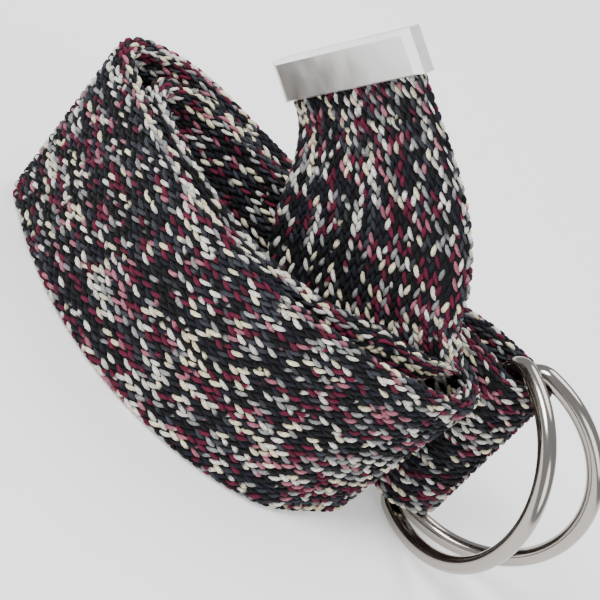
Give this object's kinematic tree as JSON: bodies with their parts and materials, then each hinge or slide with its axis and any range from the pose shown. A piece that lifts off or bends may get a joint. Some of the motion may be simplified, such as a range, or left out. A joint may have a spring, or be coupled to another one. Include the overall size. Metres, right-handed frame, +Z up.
{
  "type": "waist belt",
  "caption": "Knitted fabric waist belt with paired D-rings at one end and a metal tip at the other, loosely coiled and standing on its edge.",
  "frame": {"origin": "middle of the coil's footprint, at the floor it stands on", "axes": "+Z up along the coil's upright axis and across the strap's width, +X towards the D-rings, +Y towards the back of the coil where the ring end comes from"},
  "size_m": [0.1256, 0.0422, 0.0878],
  "materials": {
    "knit": "multicoloured marl knit in cream, grey, navy, black and burgundy",
    "ring_metal": "polished nickel",
    "tip_metal": "satin, faintly grained"
  },
  "bodies": {
    "belt": {"strap": "knit", "end_tip": "tip_metal"},
    "outer_ring": {"outer_d_ring": "ring_metal"},
    "inner_ring": {"inner_d_ring": "ring_metal"}
  },
  "joints": [
    {"name": "outer_ring_swing", "type": "hinge", "parent": "belt", "child": "outer_ring", "pos_m": [0.0342, 0.0143, 0.02339], "axis": [0, 0, 1], "range_deg": [0, 50]},
    {"name": "inner_ring_swing", "type": "hinge", "parent": "belt", "child": "inner_ring", "pos_m": [0.03082, 0.01235, 0.02339], "axis": [0, 0, 1], "range_deg": [-14, 0]}
  ]
}
